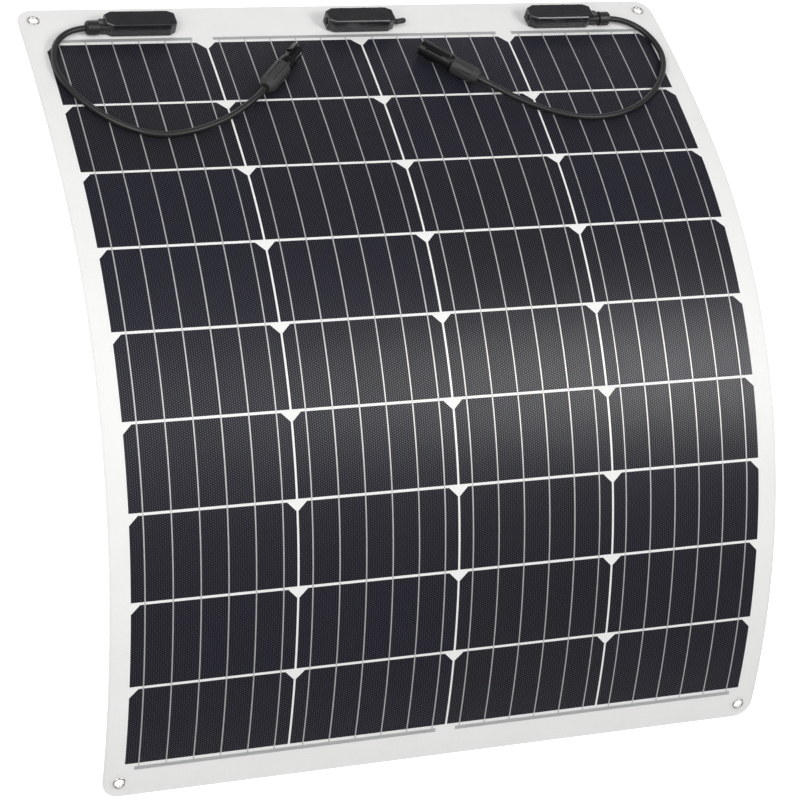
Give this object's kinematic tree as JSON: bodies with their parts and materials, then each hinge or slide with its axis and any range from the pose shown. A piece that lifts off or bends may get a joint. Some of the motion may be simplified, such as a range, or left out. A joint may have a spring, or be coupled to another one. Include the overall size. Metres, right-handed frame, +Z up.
{
  "type": "flexible solar panel",
  "caption": "Flexible solar sheet bent into a shallow arch, with half-cut cells, metal corner eyelets, low junction boxes and two leads with connectors.",
  "frame": {"origin": "on the floor under the arch, in the middle of its footprint", "axes": "+X across the sheet, +Y towards the end with the junction boxes, +Z up"},
  "size_m": [0.672, 0.746, 0.1459],
  "materials": {
    "backsheet": "satin warm white",
    "cell": "dark silicon with fine contact fingers",
    "tinned_ribbon": "dull tinned copper",
    "front_film": "clear, finely dimpled",
    "eyelet_metal": "bright nickel plate",
    "box_plastic": "moulded black, satin",
    "lid_plastic": "moulded black, fine grain",
    "gland_plastic": "moulded black",
    "potting": "cast silicone",
    "adhesive": "foam tape",
    "terminal_copper": "tinned copper",
    "diode_body": "epoxy",
    "nut_plastic": "charcoal, matt",
    "connector_plastic": "moulded black",
    "contact_metal": "tinned",
    "seal_rubber": "elastomer",
    "lead_jacket": "cross-linked jacket, satin"
  },
  "bodies": {
    "head": {"laminate_head": "backsheet", "cells_head": "cell", "busbars_head": "tinned_ribbon", "front_film_head": "front_film", "eyelets_head": "eyelet_metal", "bus_ribbons_head": "tinned_ribbon", "box_base_left": "box_plastic", "box_base_middle": "box_plastic", "box_base_right": "box_plastic", "box_potting": "potting", "box_terminals": "terminal_copper", "bypass_diodes": "diode_body", "adhesive_pads": "adhesive", "lead_glands": "gland_plastic", "gland_nuts": "gland_plastic", "port_blanks": "gland_plastic", "plug_body": "connector_plastic", "plug_pin": "contact_metal", "socket_body": "connector_plastic", "socket_contact": "contact_metal", "lead_collets": "seal_rubber", "lead_left": "lead_jacket", "lead_right": "lead_jacket"},
    "row_3": {"laminate_row_3": "backsheet", "cells_row_3": "cell", "busbars_row_3": "tinned_ribbon", "front_film_row_3": "front_film"},
    "row_4": {"laminate_row_4": "backsheet", "cells_row_4": "cell", "busbars_row_4": "tinned_ribbon", "front_film_row_4": "front_film"},
    "row_5": {"laminate_row_5": "backsheet", "cells_row_5": "cell", "busbars_row_5": "tinned_ribbon", "front_film_row_5": "front_film"},
    "row_6": {"laminate_row_6": "backsheet", "cells_row_6": "cell", "busbars_row_6": "tinned_ribbon", "front_film_row_6": "front_film"},
    "row_7": {"laminate_row_7": "backsheet", "cells_row_7": "cell", "busbars_row_7": "tinned_ribbon", "front_film_row_7": "front_film"},
    "row_8": {"laminate_row_8": "backsheet", "cells_row_8": "cell", "busbars_row_8": "tinned_ribbon", "front_film_row_8": "front_film"},
    "tail": {"laminate_tail": "backsheet", "cells_tail": "cell", "busbars_tail": "tinned_ribbon", "front_film_tail": "front_film", "eyelets_tail": "eyelet_metal", "bus_ribbons_tail": "tinned_ribbon"},
    "lid_left": {"box_lid_left": "lid_plastic"},
    "lid_middle": {"box_lid_middle": "lid_plastic"},
    "lid_right": {"box_lid_right": "lid_plastic"},
    "plug_nut": {"plug_nut": "nut_plastic"},
    "socket_nut": {"socket_nut": "nut_plastic"},
    "latch_arm_left": {"latch_arm_left": "connector_plastic"},
    "latch_arm_right": {"latch_arm_right": "connector_plastic"}
  },
  "joints": [
    {"name": "flex_4_5", "type": "hinge", "parent": "row_5", "child": "row_4", "pos_m": [0, 0.03079, 0.14282], "axis": [-1, 0, 0], "range_deg": [-9.25, 3.95], "stiffness_Nm_per_rad": 60, "springref_deg": 1.26},
    {"name": "flex_3_4", "type": "hinge", "parent": "row_4", "child": "row_3", "pos_m": [0, 0.11039, 0.12911], "axis": [-1, 0, 0], "range_deg": [-9.3, 4], "stiffness_Nm_per_rad": 60, "springref_deg": 1.26},
    {"name": "flex_2_3", "type": "hinge", "parent": "row_3", "child": "head", "pos_m": [0, 0.1867, 0.10261], "axis": [-1, 0, 0], "range_deg": [-6.46, 2.78], "stiffness_Nm_per_rad": 60, "springref_deg": 0.88},
    {"name": "flex_5_6", "type": "hinge", "parent": "row_5", "child": "row_6", "pos_m": [0, -0.04999, 0.14338], "axis": [1, 0, 0], "range_deg": [-9.3, 4], "stiffness_Nm_per_rad": 60, "springref_deg": 1.26},
    {"name": "flex_6_7", "type": "hinge", "parent": "row_6", "child": "row_7", "pos_m": [0, -0.12978, 0.13078], "axis": [1, 0, 0], "range_deg": [-9.3, 4], "stiffness_Nm_per_rad": 60, "springref_deg": 1.26},
    {"name": "flex_7_8", "type": "hinge", "parent": "row_7", "child": "row_8", "pos_m": [0, -0.20645, 0.10534], "axis": [1, 0, 0], "range_deg": [-8.39, 3.61], "stiffness_Nm_per_rad": 60, "springref_deg": 1.14},
    {"name": "flex_8_9", "type": "hinge", "parent": "row_8", "child": "tail", "pos_m": [0, -0.27859, 0.06888], "axis": [1, 0, 0], "range_deg": [-7.49, 3.22], "stiffness_Nm_per_rad": 60, "springref_deg": 1.01},
    {"name": "lid_left_lift", "type": "slide", "parent": "head", "child": "lid_left", "axis": [0, 0.5319, 0.8468], "range_m": [0, 0.02]},
    {"name": "lid_middle_lift", "type": "slide", "parent": "head", "child": "lid_middle", "axis": [0, 0.5319, 0.8468], "range_m": [0, 0.02]},
    {"name": "lid_right_lift", "type": "slide", "parent": "head", "child": "lid_right", "axis": [0, 0.5319, 0.8468], "range_m": [0, 0.02]},
    {"name": "plug_nut_turn", "type": "hinge", "parent": "head", "child": "plug_nut", "pos_m": [-0.12, 0.27032, 0.07422], "axis": [0.6778, 0.6425, -0.3575], "range_deg": [0, 360]},
    {"name": "socket_nut_turn", "type": "hinge", "parent": "head", "child": "socket_nut", "pos_m": [0.103, 0.27522, 0.07151], "axis": [-0.7284, 0.5984, -0.3336], "range_deg": [0, 360]},
    {"name": "latch_arm_left_flex", "type": "hinge", "parent": "head", "child": "latch_arm_left", "pos_m": [-0.0901, 0.3051, 0.06043], "axis": [-0.6167, 0.2319, -0.7523], "range_deg": [0, 3.5], "stiffness_Nm_per_rad": 1.5},
    {"name": "latch_arm_right_flex", "type": "hinge", "parent": "head", "child": "latch_arm_right", "pos_m": [-0.08545, 0.29663, 0.05401], "axis": [0.6167, -0.2319, 0.7523], "range_deg": [0, 3.5], "stiffness_Nm_per_rad": 1.5}
  ],
  "couplings": [
    {"joint": "flex_3_4", "follows": "flex_4_5", "ratio": 1},
    {"joint": "flex_2_3", "follows": "flex_4_5", "ratio": 0.695},
    {"joint": "flex_5_6", "follows": "flex_4_5", "ratio": 1},
    {"joint": "flex_6_7", "follows": "flex_4_5", "ratio": 1},
    {"joint": "flex_7_8", "follows": "flex_4_5", "ratio": 0.902},
    {"joint": "flex_8_9", "follows": "flex_4_5", "ratio": 0.805}
  ]
}
